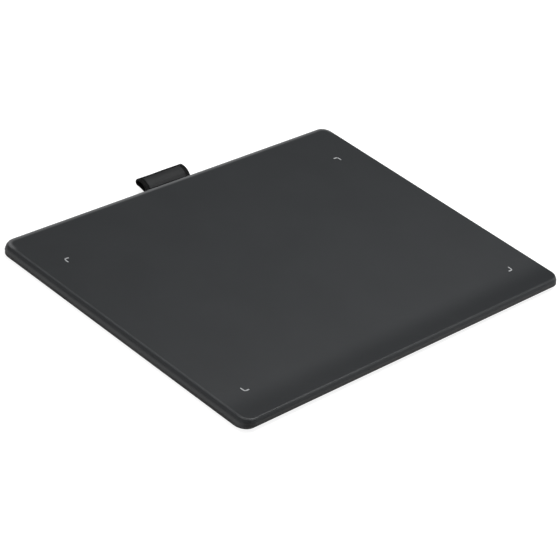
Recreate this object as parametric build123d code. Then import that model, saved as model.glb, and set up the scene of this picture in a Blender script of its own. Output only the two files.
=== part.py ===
# A slim pen tablet for a desk. A two-part moulded case holds a pen-sensing board behind its flat
# work face and a small electronics bay along the back edge, where a webbing loop takes the pen.
# Millimetres. X runs left to right, Y from the user to the back edge, Z up from the desk.
# The origin is on the desk, under the middle of the whole part, loop included.
import os
from math import cos, radians, sin

from build123d import *

os.makedirs("parts", exist_ok=True)

# Case: outline, levels and walls
case_width = 240.0
case_depth = 175.5
corner_radius = 6.9      # in plan, at the widest line
rim_in = 1.4             # the flat work face stands in from the widest line by this
rim_drop = 1.8           # height of the sloping rim
skirt_height = 2.1       # nearly upright band below the rim
skirt_flare = 0.4        # the skirt's foot stands out past its shoulder by this
tray_height = 2.0        # lower case below the seam
tray_front_in = 1.7      # the lower case is drawn in under the front edge
tray_side_in = 0.4       # and only a little at the other three
seam_step = 0.2          # the tray's top edge stands in from the skirt, as a shadow line
rim_round = 0.8
shoulder_round = 0.3
least_corner = 1.0       # inner outlines keep at least this corner radius
wall = 1.7
face_plate = 1.1
floor_plate = 1.1
lip_gap = 0.1            # between the skirt's inner face and the tray's upright lip
lip_thick = 0.7
lip_height = 0.9
cut_over = 1.0           # a cut through a wall goes this far past its outer face

# Work area, marked on the face and sensed by the board behind it
work_side_margin = 18.4
work_front_margin = 19.0
work_back_margin = 29.5
sensor_border = 4.0      # the board is larger than the work area all round

# Sensing stack, from the face plate's underside down
bond_thick = 0.1
sensor_thick = 0.8
shield_thick = 0.3
stack_corner = 3.0

# Feet
foot_length = 24.0
foot_width = 8.0
foot_stand = 1.0         # height that a foot stands out of the tray
foot_sink = 0.4          # depth of its recess
foot_inset_x = 30.0      # foot's centre from the case's side
foot_inset_y = 14.0      # foot's centre from the case's front and back
foot_gap = 0.1
foot_bevel = 0.3

# Screws that hold the tray to the top cover
screw_inset = 7.5
screw_shank_radius = 0.8
screw_head_radius = 1.5
screw_head_height = 0.8
screw_length = 3.2
screw_gap = 0.12
thread_gap = 0.03
boss_radius = 2.3
post_radius = 2.9
head_seat = 0.9          # thickness under a screw's head
pilot_spare = 0.2        # a pilot hole is deeper than its screw by this
head_bevel_share = 0.35  # of the head's height
tip_bevel_share = 0.4    # of the shank's radius
cross_slot_width = 0.4
cross_slot_length = 1.7
cross_slot_depth = 0.45

# Ribs
rib_thick = 0.8
rib_pitch = 26.0
margin_rib_pitch = 13.0
margin_rib_drop = 2.0
margin_rib_gap = 1.0     # between these ribs and the sensing board

# Pen loop
loop_x = -1.6            # the loop's middle lies a little left of the case's middle
loop_width = 32.4
web_thick = 1.0
band_edge_share = 0.25   # bevel of a strip's long edges, as a share of its thickness
layer_gap = 0.1          # between the two layers where they leave the case
fold_radius = 2.0        # outside of the far fold
fold_reach = 7.7         # from the back edge to the fold's centre
fold_below_face = 1.3
loop_rise = 42.0         # slope of the upper layer where it leaves the case, in degrees
loop_stand_off = 0.3     # the free part starts this far behind the back edge
loop_root_set_back = 0.4
loop_slot_gap = 0.35
bar_radius = 0.7
bar_web_gap = 0.03
bar_set_in = 6.2         # bar's centre from the back edge
bar_overhang = 3.0
cradle_thick = 2.0
cradle_gap = 0.08
patch_margin = 3.2       # webbing that shows at each end of the patch
patch_thick = 0.35
patch_root_gap = 0.12    # share of the upper layer's bend left bare at the root

# Main board
board_thick = 0.8
board_loop_gap = 4.4     # from the loop's bar to the board's left edge
board_post_gap = 9.6     # from the board's right edge to the corner screw's post
board_depth = 19.0
board_edge_gap = 1.2     # between the board and the tray's lip
board_corner = 1.0
standoff_radius = 2.0
standoff_inset = 3.2
board_screw_radius = 0.7
board_screw_head_radius = 1.3
board_screw_head_height = 0.6
board_screw_end_gap = 0.6    # between its tip and the floor plate

# What sits on the main board
chip_size = (6.0, 6.0, 0.85)
chip_from_left = 13.0
chip_bevel = 0.08
pin_mark_inset = 0.9
pin_mark_radius = 0.35
pin_mark_depth = 0.1
module_size = (12.0, 9.0, 0.3)
module_from_right = 10.0
module_forward = 1.0     # of the board's middle line
antenna_strip = 2.6      # left bare at one end of the module
can_edge = 0.4
can_height = 0.9
can_wall = 0.15
can_round = 0.12
part_size = (1.0, 0.5, 0.4)
part_pitch = 2.2
part_rows = 3
part_columns = 6
parts_from_chip = 6.0
parts_from_front = 2.0

# USB type C socket, set into a notch of the board
usb_from_left = 24.0     # from the board's left edge
usb_width = 8.94
usb_height = 3.16
usb_length = 7.35
usb_shell = 0.3
usb_recess = 0.6         # its mouth lies this far inside the back face
usb_gap = 0.15
tongue_width = 6.7
tongue_thick = 0.7
tongue_length = 4.6
tongue_base_length = 1.6
tongue_base_gap = 0.02
tongue_bevel_share = 0.3
contact_count = 12
contact_pitch = 0.5
contact_width = 0.25
contact_thick = 0.04
contact_length_share = 0.8

# Status lamp
lamp_from_right = 30.0   # from the board's right edge
lamp_size = (1.6, 0.8, 1.0)
pipe_radius = 0.6
pipe_collar_radius = 1.0
pipe_collar_length = 0.6
pipe_gap = 0.05
pipe_sink = 0.2          # its end lies this far inside the back face

# Power button and its switch
button_from_right = 16.0
button_width = 8.0
button_height = 1.4
button_stand = 0.5
button_round = 0.25
button_gap = 0.13
button_travel = 0.3
flange_thick = 0.6
flange_edge = 0.5
stem_width = 2.2
stem_reach = 1.2         # from the flange to the plunger's tip
switch_size = (4.6, 3.2, 1.7)
switch_bevel = 0.15
plunger_width = 1.8
plunger_height = 0.9
plunger_stand = 0.9
plunger_sink = 1.4
contact_gap = 0.05

# Battery
battery_size = (62.0, 44.0, 2.1)
battery_past_plug = 5.0  # the cell reaches this far to the right of its plug
battery_back_gap = 32.25 # from the sensing board's back edge
battery_corner = 2.0
battery_bevel = 0.4
tape_thick = 0.1
tape_share = (0.8, 0.6)  # of the cell's width and depth
bay_gap = 1.2
lead_radius = 0.35
lead_spread = 1.6        # each lead's middle from the plug's middle line, in lead radii

# Sensor cable and sockets
cable_width = 14.0
cable_thick = 0.15
cable_from_left = 17.0
cable_socket_size = (17.0, 3.6, 0.9)
plug_size = (4.4, 3.6, 1.0)
plug_from_right = 28.0   # from the board's right edge
socket_inset = 1.0       # of the sockets from the board's front edge

# Levels, up from the desk
tray_z = foot_stand
seam_z = tray_z + tray_height
shoulder_z = seam_z + skirt_height
top_z = shoulder_z + rim_drop
floor_z = tray_z + floor_plate
ceiling_z = top_z - face_plate
port_z = (seam_z + shoulder_z) / 2
sensor_z = ceiling_z - bond_thick - sensor_thick
stack_z = sensor_z - shield_thick
board_z = port_z - board_thick / 2
board_top_z = port_z + board_thick / 2

# Places in plan
case_y = -(fold_reach + fold_radius) / 2
back_y = case_y + case_depth / 2
port_face_y = back_y - skirt_flare * (port_z - seam_z) / skirt_height
front_y = case_y - case_depth / 2
side_x = case_width / 2
lip_in = wall + lip_gap
bay_in = lip_in + lip_thick
work_width = case_width - 2 * work_side_margin
work_depth = case_depth - work_front_margin - work_back_margin
sensor_width = work_width + 2 * sensor_border
sensor_depth = work_depth + 2 * sensor_border
sensor_y = front_y + work_front_margin + work_depth / 2
sensor_back_y = sensor_y + sensor_depth / 2
board_back_y = back_y - bay_in - board_edge_gap
board_left = loop_x + loop_width / 2 + bar_overhang + board_loop_gap
board_right = side_x - screw_inset - post_radius - board_post_gap
board_width = board_right - board_left
board_x = board_left + board_width / 2
board_y = board_back_y - board_depth / 2
usb_x = board_left + usb_from_left
lamp_x = board_right - lamp_from_right
button_x = board_right - button_from_right
cable_x = board_left + cable_from_left
plug_x = board_right - plug_from_right
battery_x = plug_x + battery_past_plug - battery_size[0] / 2
battery_y = sensor_back_y - battery_back_gap - battery_size[1] / 2
bar_y = back_y - bar_set_in
fold_y = back_y + fold_reach
fold_z = top_z - fold_below_face
layer_lift = (web_thick + layer_gap) / 2
loop_root_y = back_y + loop_stand_off
inner_wall_y = back_y - wall
corner_clear = 2 * screw_inset
feet = [
    (sx * (side_x - foot_inset_x), case_y + sy * (case_depth / 2 - foot_inset_y))
    for sx in (-1, 1)
    for sy in (-1, 1)
]
screws = [
    (sx * (side_x - screw_inset), case_y + sy * (case_depth / 2 - screw_inset))
    for sx in (-1, 0, 1)
    for sy in (-1, 0, 1)
    if sx != 0 or sy == -1
]
standoffs = [
    (board_x + sx * (board_width / 2 - standoff_inset), board_y + sy * (board_depth / 2 - standoff_inset))
    for sx, sy in ((-1, 1), (1, 1), (1, -1), (-1, -1))
]


# Helpers
def plan(inset, z):
    """The case's outline in plan, stood in by inset all round."""
    width = case_width - 2 * inset
    depth = case_depth - 2 * inset
    return Pos(0, case_y, z) * RectangleRounded(width, depth, max(corner_radius - inset, least_corner))


def block(x, y, z, size, low=False):
    """A box centred in plan on x, y. It is centred on z too, or stands on it when low is set."""
    lift = size[2] / 2 if low else 0
    return Pos(x, y, z + lift) * Box(*size)


def pillar(x, y, z, radius, height):
    """An upright round post that stands on z."""
    return Pos(x, y, z + height / 2) * Cylinder(radius, height)


def slab(x, y, z, width, depth, height, corner):
    """A flat plate with rounded corners, its underside at z."""
    return extrude(Pos(x, y, z) * RectangleRounded(width, depth, corner), height)


def pill(x, z, width, height, y_from, y_to):
    """A bar along Y with a slot-shaped section, for buttons, sockets and their holes."""
    section = Plane((x, y_from, z), x_dir=(1, 0, 0), z_dir=(0, 1, 0)) * SlotOverall(width, height)
    return extrude(section, y_to - y_from)


def rod(x, z, radius, y_from, y_to):
    """A round bar along Y."""
    section = Plane((x, y_from, z), x_dir=(1, 0, 0), z_dir=(0, 1, 0)) * Circle(radius)
    return extrude(section, y_to - y_from)


def join(parts):
    """One part from several that touch or overlap."""
    whole = parts[0]
    for piece in parts[1:]:
        whole += piece
    return whole


def cross_screw(x, y, z, shank_radius, length, head_radius, head_height, head_up):
    """A pan-head screw whose head bears on z, with a cross recess in the head."""
    turn = 1 if head_up else -1
    head = Pos(x, y, z + turn * head_height / 2) * Cylinder(head_radius, head_height)
    far_edge = head.edges().filter_by(GeomType.CIRCLE).sort_by(Axis.Z)[-1 if head_up else 0]
    head = chamfer(far_edge, head_height * head_bevel_share)
    shank = Pos(x, y, z - turn * length / 2) * Cylinder(shank_radius, length)
    tip = shank.edges().filter_by(GeomType.CIRCLE).sort_by(Axis.Z)[0 if head_up else -1]
    shank = chamfer(tip, shank_radius * tip_bevel_share)
    slot_z = z + turn * (head_height - cross_slot_depth / 2)
    scale = head_radius / screw_head_radius
    long_side = cross_slot_length * scale
    recess = block(x, y, slot_z, (long_side, cross_slot_width, cross_slot_depth))
    recess += block(x, y, slot_z, (cross_slot_width, long_side, cross_slot_depth))
    return head + shank - recess


# Openings in the back wall, shared by both halves of the case
def back_openings():
    """The holes for the socket, lamp, button and webbing, cut through the wall and the lip."""
    reach = back_y + cut_over
    inner = back_y - bay_in - board_edge_gap / 2
    socket = pill(usb_x, port_z, usb_width + 2 * usb_gap, usb_height + 2 * usb_gap, inner, reach)
    lamp = rod(lamp_x, port_z, pipe_radius + pipe_gap, inner, reach)
    lamp += rod(lamp_x, port_z, pipe_collar_radius + pipe_gap, inner, inner_wall_y + pipe_gap)
    button = pill(
        button_x, port_z, button_width + 2 * button_gap, button_height + 2 * button_gap, inner, reach
    )
    flange_room = flange_edge + 2 * button_gap
    button += block(
        button_x,
        (inner + inner_wall_y) / 2,
        port_z,
        (
            button_width + 2 * flange_room,
            inner_wall_y - inner,
            button_height + 2 * flange_room,
        ),
    )
    slot_height = 2 * web_thick + layer_gap + loop_slot_gap
    webbing = block(
        loop_x,
        (inner + reach) / 2,
        port_z,
        (loop_width + 2 * loop_slot_gap, reach - inner, slot_height),
    )
    return [socket, lamp, button, webbing]


# Case
def tray_section(z):
    """The lower case in plan at height z: it narrows evenly from the seam down to its underside."""
    share = (seam_z - z) / tray_height
    side = seam_step + (tray_side_in - seam_step) * share
    front = seam_step + (tray_front_in - seam_step) * share
    depth = case_depth - side - front
    place = Pos(0, case_y + (front - side) / 2, z)
    return place * RectangleRounded(case_width - 2 * side, depth, corner_radius - side)


def margin_ribs():
    """Short ribs under the face plate that tie its edge to the skirt, all round the sensor."""
    ribs = []
    side_length = side_x - wall - sensor_width / 2 - margin_rib_gap
    stations = int((case_depth - 2 * corner_clear) / margin_rib_pitch)
    for i in range(stations + 1):
        y = case_y + (i - stations / 2) * margin_rib_pitch
        for side in (-1, 1):
            x = side * (side_x - wall - side_length / 2)
            size = (side_length, rib_thick, margin_rib_drop)
            ribs.append(block(x, y, ceiling_z - margin_rib_drop, size, low=True))
    front_length = sensor_y - sensor_depth / 2 - front_y - wall - margin_rib_gap
    columns = int((case_width - 2 * corner_clear) / margin_rib_pitch)
    for i in range(columns + 1):
        x = (i - columns / 2) * margin_rib_pitch
        if abs(x) > boss_radius + rib_thick:
            y = front_y + wall + front_length / 2
            size = (rib_thick, front_length, margin_rib_drop)
            ribs.append(block(x, y, ceiling_z - margin_rib_drop, size, low=True))
    return ribs


def top_cover():
    """Work face, sloping rim and skirt in one moulding, with screw bosses and ribs inside."""
    shell = loft([plan(0, seam_z), plan(skirt_flare, shoulder_z)], ruled=True)
    shell += loft([plan(skirt_flare, shoulder_z), plan(rim_in, top_z)], ruled=True)
    shell = fillet(shell.edges().filter_by_position(Axis.Z, top_z, top_z), rim_round)
    shell = fillet(shell.edges().filter_by_position(Axis.Z, shoulder_z, shoulder_z), shoulder_round)
    shell -= extrude(plan(wall, seam_z), ceiling_z - seam_z)
    inside = margin_ribs()
    inside += [pillar(x, y, seam_z, boss_radius, ceiling_z - seam_z) for x, y in screws]
    for side in (-1, 1):
        x = loop_x + side * (loop_width + 2 * loop_slot_gap + bar_overhang) / 2
        drop = ceiling_z - port_z - bar_radius - cradle_gap
        size = (cradle_thick, 2 * cradle_thick, drop)
        inside.append(block(x, bar_y, ceiling_z - drop, size, low=True))
    shell = join([shell] + inside)
    lip_room = extrude(plan(wall, seam_z), lip_height + lip_gap)
    lip_room -= extrude(plan(bay_in + lip_gap, seam_z), lip_height + lip_gap)
    shell -= lip_room - join([pillar(x, y, seam_z, boss_radius, lip_height + lip_gap) for x, y in screws])
    pilot_depth = screw_length - (seam_z - head_bearing_z()) + pilot_spare
    for x, y in screws:
        shell -= pillar(x, y, seam_z, screw_shank_radius + thread_gap, pilot_depth)
    for hole in back_openings():
        shell -= hole
    return shell


def head_bearing_z():
    """The level inside a screw's counterbore on which its head bears."""
    return seam_z - head_seat


def tray_ribs():
    """The grid of ribs that carries the sensing stack, open over the battery and the cable."""
    height = stack_z - floor_z
    bars = []
    columns = int(sensor_width / rib_pitch)
    rows = int(sensor_depth / rib_pitch)
    for i in range(columns + 1):
        x = (i - columns / 2) * rib_pitch
        bars.append(block(x, sensor_y, floor_z, (rib_thick, rows * rib_pitch, height), low=True))
    for i in range(rows + 1):
        y = sensor_y + (i - rows / 2) * rib_pitch
        bars.append(block(0, y, floor_z, (columns * rib_pitch, rib_thick, height), low=True))
    grid = join(bars)
    bay = (battery_size[0] + 2 * bay_gap, battery_size[1] + 2 * bay_gap, height)
    grid -= block(battery_x, battery_y, floor_z, bay, low=True)
    channel_depth = board_y - battery_y
    channel = (cable_socket_size[0] + 2 * bay_gap, channel_depth, height)
    grid -= block(cable_x, battery_y + channel_depth / 2, floor_z, channel, low=True)
    lead_channel = (4 * bay_gap, channel_depth, height)
    grid -= block(plug_x, battery_y + channel_depth / 2, floor_z, lead_channel, low=True)
    return grid


def bottom_cover():
    """The tray: tapered wall, upright lip, rib grid, screw posts, standoffs and foot recesses."""
    body = loft([tray_section(tray_z), tray_section(seam_z)], ruled=True)
    front_wall = bay_in + tray_front_in / 2
    hollow_depth = case_depth - bay_in - front_wall
    hollow_y = case_y + (front_wall - bay_in) / 2
    hollow_width = case_width - 2 * bay_in
    body -= slab(0, hollow_y, floor_z, hollow_width, hollow_depth, tray_height, corner_radius - bay_in)
    lip = extrude(plan(lip_in, seam_z), lip_height) - extrude(plan(bay_in, seam_z), lip_height)
    gaps = [pillar(x, y, seam_z, boss_radius + lip_gap, lip_height) for x, y in screws]
    body += lip - join(gaps)
    inside = [tray_ribs()]
    inside += [pillar(x, y, floor_z, post_radius, seam_z - floor_z) for x, y in screws]
    inside += [pillar(x, y, floor_z, standoff_radius, board_z - floor_z) for x, y in standoffs]
    for side in (-1, 1):
        x = loop_x + side * (loop_width + 2 * loop_slot_gap + bar_overhang) / 2
        size = (cradle_thick, 2 * cradle_thick, port_z - floor_z)
        cradle = block(x, bar_y, floor_z, size, low=True)
        groove = Pos(x, bar_y, port_z) * Rot(0, 90, 0) * Cylinder(bar_radius + cradle_gap, cradle_thick)
        inside.append(cradle - groove)
    body = join([body] + inside)
    for x, y in screws:
        body -= pillar(x, y, tray_z, screw_head_radius + screw_gap, head_bearing_z() - tray_z)
        body -= pillar(x, y, tray_z, screw_shank_radius + screw_gap, tray_height)
    for x, y in standoffs:
        body -= pillar(x, y, floor_z + pilot_spare, board_screw_radius + thread_gap, board_z - floor_z)
    for x, y in feet:
        body -= foot_pad(x, y, tray_z, foot_gap, foot_sink)
    for hole in back_openings():
        body -= hole
    return body


def foot_pad(x, y, z, gap, height):
    """An oblong pad with round ends, its long side along X."""
    outline = Pos(x, y, z) * SlotOverall(foot_length + 2 * gap, foot_width + 2 * gap)
    return extrude(outline, height)


def rubber_foot(x, y):
    """A moulded rubber foot, glued in its recess, with a bevelled lower edge."""
    pad = foot_pad(x, y, 0, 0, foot_stand + foot_sink)
    return chamfer(pad.edges().filter_by_position(Axis.Z, 0, 0), foot_bevel)


def case_screws():
    """The self-tapping screws, driven from below."""
    return [
        cross_screw(
            x,
            y,
            head_bearing_z(),
            screw_shank_radius,
            screw_length,
            screw_head_radius,
            screw_head_height,
            head_up=False,
        )
        for x, y in screws
    ]


# Sensing stack
socket_z = sensor_z - cable_socket_size[2]
socket_y = sensor_back_y - sensor_border - cable_socket_size[1] / 2


def sensor_board():
    """The board with the pen-sensing loops, bonded behind the whole work area."""
    return slab(0, sensor_y, sensor_z, sensor_width, sensor_depth, sensor_thick, stack_corner)


def sensor_bond_film():
    """The thin adhesive film between the face plate and the board."""
    return slab(0, sensor_y, sensor_z + sensor_thick, sensor_width, sensor_depth, bond_thick, stack_corner)


def shield_sheet():
    """The steel sheet behind the board, notched round the board's socket."""
    sheet = slab(0, sensor_y, stack_z, sensor_width, sensor_depth, shield_thick, stack_corner)
    notch_depth = sensor_back_y - socket_y + cable_socket_size[1] / 2 + bay_gap
    notch_width = cable_socket_size[0] + 2 * bay_gap
    notch_y = sensor_back_y - notch_depth / 2
    return sheet - block(cable_x, notch_y, stack_z, (notch_width, notch_depth, shield_thick), low=True)


# Electronics bay
battery_z = floor_z + tape_thick
plug_y = board_y - board_depth / 2 + plug_size[1] / 2 + socket_inset
plug_z = board_z - plug_size[2]
board_socket_y = board_y - board_depth / 2 + cable_socket_size[1] / 2 + socket_inset
board_socket_z = board_z - cable_socket_size[2]
chip_x = board_left + chip_from_left
chip_y = board_y
module_x = board_right - module_from_right
module_y = board_y - module_forward


def main_board():
    """The main board, notched at its back edge for the socket, the lamp and the switch."""
    board = slab(board_x, board_y, board_z, board_width, board_depth, board_thick, board_corner)
    usb_notch = board_back_y - usb_back_y + usb_gap
    board -= block(
        usb_x,
        board_back_y - usb_notch / 2,
        port_z,
        (usb_width + 2 * usb_gap, usb_notch, board_thick),
    )
    lamp_notch = lamp_size[1] + pipe_gap
    lamp_room = (lamp_size[0] + 2 * pipe_gap, lamp_notch, board_thick)
    board -= block(lamp_x, board_back_y - lamp_notch / 2, port_z, lamp_room)
    switch_notch = board_back_y - switch_back_y + contact_gap
    board -= block(
        button_x,
        board_back_y - switch_notch / 2,
        port_z,
        (switch_size[0] + 2 * contact_gap, switch_notch, board_thick),
    )
    for x, y in standoffs:
        board -= pillar(x, y, board_z, board_screw_radius + screw_gap, board_thick)
    return board


def board_screws():
    """The small screws that hold the board down on its standoffs."""
    length = board_top_z - floor_z - board_screw_end_gap
    return [
        cross_screw(
            x,
            y,
            board_top_z,
            board_screw_radius,
            length,
            board_screw_head_radius,
            board_screw_head_height,
            head_up=True,
        )
        for x, y in standoffs
    ]


def processor_chip():
    """The flat square chip that reads the sensing loops."""
    chip = block(chip_x, chip_y, board_top_z, chip_size, low=True)
    chip_top = board_top_z + chip_size[2]
    chip = chamfer(chip.edges().filter_by_position(Axis.Z, chip_top, chip_top), chip_bevel)
    mark_x = chip_x - chip_size[0] / 2 + pin_mark_inset
    mark_y = chip_y + chip_size[1] / 2 - pin_mark_inset
    return chip - pillar(mark_x, mark_y, chip_top - pin_mark_depth, pin_mark_radius, pin_mark_depth)


def wireless_module():
    """The radio's small carrier board."""
    return block(module_x, module_y, board_top_z, module_size, low=True)


def module_shield_can():
    """The folded tin lid over the radio, open underneath."""
    lid = (module_size[0] - antenna_strip - can_edge, module_size[1] - 2 * can_edge, can_height)
    can_x = module_x + (antenna_strip - can_edge) / 2
    base = board_top_z + module_size[2]
    can = block(can_x, module_y, base, lid, low=True)
    can = fillet(can.edges().filter_by_position(Axis.Z, base + can_height, base + can_height), can_round)
    room = (lid[0] - 2 * can_wall, lid[1] - 2 * can_wall, can_height - can_wall)
    return can - block(can_x, module_y, base, room, low=True)


def board_parts():
    """Rows of small resistors and capacitors on the board's upper side."""
    rows = []
    for row in range(part_rows):
        for i in range(part_columns):
            x = chip_x + parts_from_chip + i * part_pitch
            y = board_y - board_depth / 2 + parts_from_front + row * part_pitch
            rows.append(block(x, y, board_top_z, part_size, low=True))
    return rows


# Socket
usb_front_y = port_face_y - usb_recess
usb_back_y = usb_front_y - usb_length


def usb_shell_part():
    """The drawn steel shell of the socket, closed at the back."""
    outer = pill(usb_x, port_z, usb_width, usb_height, usb_back_y, usb_front_y)
    inner_width = usb_width - 2 * usb_shell
    inner_height = usb_height - 2 * usb_shell
    return outer - pill(usb_x, port_z, inner_width, inner_height, usb_back_y + usb_shell, usb_front_y)


def usb_tongue():
    """The plastic tongue and the block that it grows from."""
    base_width = usb_width - 2 * usb_shell - 2 * tongue_base_gap
    base_height = usb_height - 2 * usb_shell - 2 * tongue_base_gap
    start = usb_back_y + usb_shell
    body = pill(usb_x, port_z, base_width, base_height, start, start + tongue_base_length)
    tongue_size = (tongue_width, tongue_length, tongue_thick)
    tongue = block(usb_x, start + tongue_base_length + tongue_length / 2, port_z, tongue_size)
    tip_y = start + tongue_base_length + tongue_length
    tip = tongue.edges().filter_by(Axis.X).filter_by_position(Axis.Y, tip_y, tip_y)
    return body + chamfer(tip, tongue_thick * tongue_bevel_share)


def usb_contacts():
    """The flat contacts on both faces of the tongue."""
    start = usb_back_y + usb_shell + tongue_base_length
    length = tongue_length * contact_length_share
    strips = []
    for side in (-1, 1):
        z = port_z + side * (tongue_thick + contact_thick) / 2
        for i in range(contact_count):
            x = usb_x + (i - (contact_count - 1) / 2) * contact_pitch
            strips.append(block(x, start + length / 2, z, (contact_width, length, contact_thick)))
    return strips


# Lamp
def status_led():
    """The side-lighting lamp in its notch at the board's edge."""
    return block(lamp_x, board_back_y - lamp_size[1] / 2, port_z, lamp_size)


def light_pipe():
    """The clear pin that brings the lamp's light to the back edge, held by its collar."""
    pin = rod(lamp_x, port_z, pipe_radius, board_back_y + pipe_gap, port_face_y - pipe_sink)
    return pin + rod(
        lamp_x, port_z, pipe_collar_radius, inner_wall_y - pipe_collar_length, inner_wall_y
    )


# Power button
flange_front_y = inner_wall_y - contact_gap
plunger_tip_y = flange_front_y - flange_thick - stem_reach
switch_front_y = plunger_tip_y - plunger_stand
switch_back_y = switch_front_y - switch_size[1]


def power_button():
    """The pill-shaped cap, its retaining flange and the stem that reaches the switch."""
    face_y = port_face_y + button_stand
    cap = pill(button_x, port_z, button_width, button_height, flange_front_y, face_y)
    face_edge = cap.edges().filter_by_position(Axis.Y, face_y, face_y)
    cap = fillet(face_edge, button_round)
    flange_width = button_width + 2 * flange_edge
    flange_height = button_height + 2 * flange_edge
    flange_y = flange_front_y - flange_thick / 2
    flange = block(button_x, flange_y, port_z, (flange_width, flange_thick, flange_height))
    stem_length = flange_front_y - plunger_tip_y - contact_gap
    stem_y = flange_front_y - stem_length / 2
    return cap + flange + block(button_x, stem_y, port_z, (stem_width, stem_length, button_height))


def switch_well():
    """The room inside the switch for its plunger, with the plunger's full travel behind it."""
    room_width = plunger_width + 2 * contact_gap
    room_height = plunger_height + 2 * contact_gap
    depth = plunger_sink + button_travel + contact_gap
    return block(button_x, switch_front_y - depth / 2, port_z, (room_width, depth, room_height))


def power_switch():
    """The side-acting tact switch, set into the board's edge."""
    body_y = switch_front_y - switch_size[1] / 2
    body = block(button_x, body_y, port_z, switch_size)
    body = chamfer(body.edges().filter_by(Axis.Y), switch_bevel)
    return body - switch_well()


def switch_plunger():
    """The plunger that the button's stem presses."""
    length = plunger_stand + plunger_sink
    plunger_y = plunger_tip_y - length / 2
    return block(button_x, plunger_y, port_z, (plunger_width, length, plunger_height))


# Battery and leads
def battery_cell():
    """The flat pouch cell in its bay."""
    pouch = slab(
        battery_x, battery_y, battery_z, battery_size[0], battery_size[1], battery_size[2], battery_corner
    )
    top = battery_z + battery_size[2]
    return chamfer(pouch.edges().filter_by_position(Axis.Z, top, top), battery_bevel)


def battery_tape():
    """The double-sided tape under the cell."""
    width = battery_size[0] * tape_share[0]
    depth = battery_size[1] * tape_share[1]
    return slab(battery_x, battery_y, floor_z, width, depth, tape_thick, battery_corner)


def battery_plug():
    """The plug on the cell's leads, pushed into its socket under the board."""
    return block(plug_x, plug_y - plug_size[1], plug_z, plug_size, low=True)


def battery_socket():
    """The socket soldered under the board."""
    return block(plug_x, plug_y, plug_z, plug_size, low=True)


def battery_leads():
    """Two wires from the cell to its plug."""
    wires = []
    start_y = battery_y + battery_size[1] / 2
    end_y = plug_y - 1.5 * plug_size[1]
    for side in (-1, 1):
        offset = side * lead_radius * lead_spread
        start = Vector(plug_x + offset, start_y, battery_z + battery_size[2] / 2)
        end = Vector(plug_x + offset, end_y, plug_z + plug_size[2] / 2)
        section = Plane(origin=start, z_dir=(0, 1, 0)) * Circle(lead_radius)
        run = end - start
        wires.append(extrude(section, run.length, dir=run))
    return wires


# Sensor cable
def sensor_socket():
    """The flat-cable socket under the sensing board."""
    return block(cable_x, socket_y, socket_z, cable_socket_size, low=True)


def board_cable_socket():
    """The flat-cable socket under the main board."""
    return block(cable_x, board_socket_y, board_socket_z, cable_socket_size, low=True)


def sensor_cable():
    """The flat cable that dips from the sensing board to the main board."""
    start = (cable_x, socket_y + cable_socket_size[1] / 2, socket_z + cable_socket_size[2] / 2)
    end = (
        cable_x,
        board_socket_y - cable_socket_size[1] / 2,
        board_socket_z + cable_socket_size[2] / 2,
    )
    path = Spline(start, end, tangents=[(0, 1, 0), (0, 1, 0)])
    section = Plane(origin=start, x_dir=(1, 0, 0), z_dir=(0, 1, 0)) * Rectangle(cable_width, cable_thick)
    return sweep(section, path=path)


# Pen loop
def band(path, width, thick, lift=0):
    """A strip swept along a path in the loop's middle plane, its middle lifted off the path by lift."""
    place = Plane(origin=path @ 0, x_dir=(1, 0, 0), z_dir=path % 0)
    outline = Rectangle(width, thick)
    outline = chamfer(outline.vertices(), thick * band_edge_share)
    return Pos(loop_x, 0, 0) * sweep(place * Pos(0, lift) * outline, path=path)


def s_bend(start, end, heading):
    """Two equal arcs that shift a run sideways and leave it parallel to its start."""
    middle = tuple((a + b) / 2 for a, b in zip(start, end))
    first = TangentArc(start, middle, tangent=heading)
    return [first, TangentArc(middle, end, tangent=first % 1)]


def upper_layer():
    """The free loop's upper layer: level behind the fold, then one arc down to the case."""
    mid_z = fold_z + fold_radius - web_thick / 2
    root_z = port_z + layer_lift
    rise = radians(loop_rise)
    bend_radius = (mid_z - root_z) / (1 - cos(rise))
    level_end = (0, loop_root_y + bend_radius * sin(rise), mid_z)
    level = Line((0, fold_y, mid_z), level_end)
    return [level, TangentArc(level_end, (0, loop_root_y, root_z), tangent=(0, -1, 0))]


def pen_loop():
    """The webbing outside the case, folded back on itself."""
    mid_radius = fold_radius - web_thick / 2
    lower_root = (0, loop_root_y, port_z - layer_lift)
    lower_fold = (0, fold_y, fold_z - mid_radius)
    upper_fold = (0, fold_y, fold_z + mid_radius)
    far_point = (0, fold_y + mid_radius, fold_z)
    lower = s_bend(lower_root, lower_fold, (0, 1, 0))
    fold = ThreePointArc(lower_fold, far_point, upper_fold)
    return band(Wire(lower + [fold] + upper_layer()), loop_width, web_thick)


def loop_root():
    """The same webbing inside the case, where it goes round the bar."""
    mid_radius = bar_radius + web_thick / 2
    end_y = back_y - loop_root_set_back
    upper_end = (0, end_y, port_z + layer_lift)
    upper_throat = (0, inner_wall_y, port_z + layer_lift)
    upper_bar = (0, bar_y, port_z + mid_radius)
    far_point = (0, bar_y - mid_radius, port_z)
    lower_bar = (0, bar_y, port_z - mid_radius)
    lower_throat = (0, inner_wall_y, port_z - layer_lift)
    lower_end = (0, end_y, port_z - layer_lift)
    runs = [Line(upper_end, upper_throat)]
    runs += s_bend(upper_throat, upper_bar, (0, -1, 0))
    runs.append(ThreePointArc(upper_bar, far_point, lower_bar))
    runs += s_bend(lower_bar, lower_throat, (0, 1, 0))
    runs.append(Line(lower_throat, lower_end))
    return band(Wire(runs), loop_width, web_thick)


def loop_bar():
    """The bar that the webbing goes round. It is wider than the slot, so the loop can't pull out."""
    length = loop_width + 2 * bar_overhang
    return Pos(loop_x, bar_y, port_z) * Rot(0, 90, 0) * Cylinder(bar_radius - bar_web_gap, length)


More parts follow.
